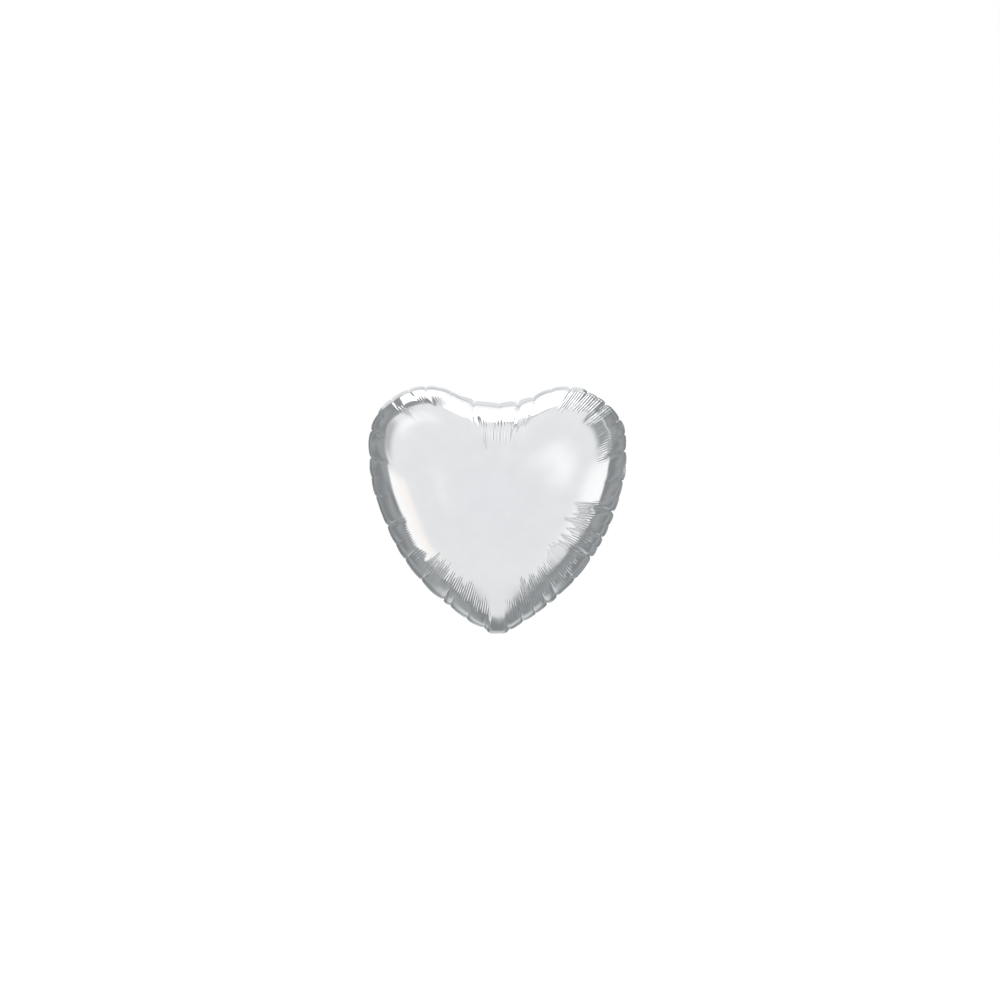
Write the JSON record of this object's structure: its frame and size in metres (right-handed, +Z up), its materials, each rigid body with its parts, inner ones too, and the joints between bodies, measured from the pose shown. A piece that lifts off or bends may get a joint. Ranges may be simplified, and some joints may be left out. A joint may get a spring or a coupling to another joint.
{
  "type": "heart-shaped foil balloon",
  "caption": "Inflated heart-shaped silver foil balloon with a welded rim, a film valve inside its neck and a filling tail folded up behind the tip.",
  "frame": {"origin": "middle of the fold crease at the heart's tip, where the filling tail leaves the neck", "axes": "+Z up from the tip to the dip between the lobes, +X across the heart to the right seen from the front, +Y out of the back panel; the front faces -Y"},
  "size_m": [0.3906, 0.184, 0.371],
  "materials": {
    "front_foil": "silver metallised film, mirror-like with a soft satin haze",
    "back_foil": "silver metallised film, mirror-like with a soft satin haze",
    "weld_band": "silver film, finely ribbed by the heat seal",
    "valve_film": "clear polyethylene film",
    "release_coating": "matt heat-resistant ink"
  },
  "bodies": {
    "envelope": {"front_panel": "front_foil", "back_panel": "back_foil", "perimeter_seal": "weld_band", "neck_valve_films": "valve_film"},
    "valve": {"valve_front_film": "valve_film", "valve_release_strip": "release_coating", "valve_back_film": "valve_film"},
    "tail": {"tail_front_ply": "front_foil", "tail_back_ply": "back_foil", "tail_seal_left": "weld_band", "tail_seal_right": "weld_band", "tail_valve_front_film": "valve_film", "tail_valve_back_film": "valve_film"}
  },
  "joints": [
    {"name": "tail_fold", "type": "hinge", "parent": "envelope", "child": "tail", "pos_m": [0, 0, 0], "axis": [-1, 0, 0], "range_deg": [0, 140]},
    {"name": "valve_swing", "type": "hinge", "parent": "envelope", "child": "valve", "pos_m": [0, 0, 0.015], "axis": [1, 0, 0], "range_deg": [0, 48]}
  ]
}
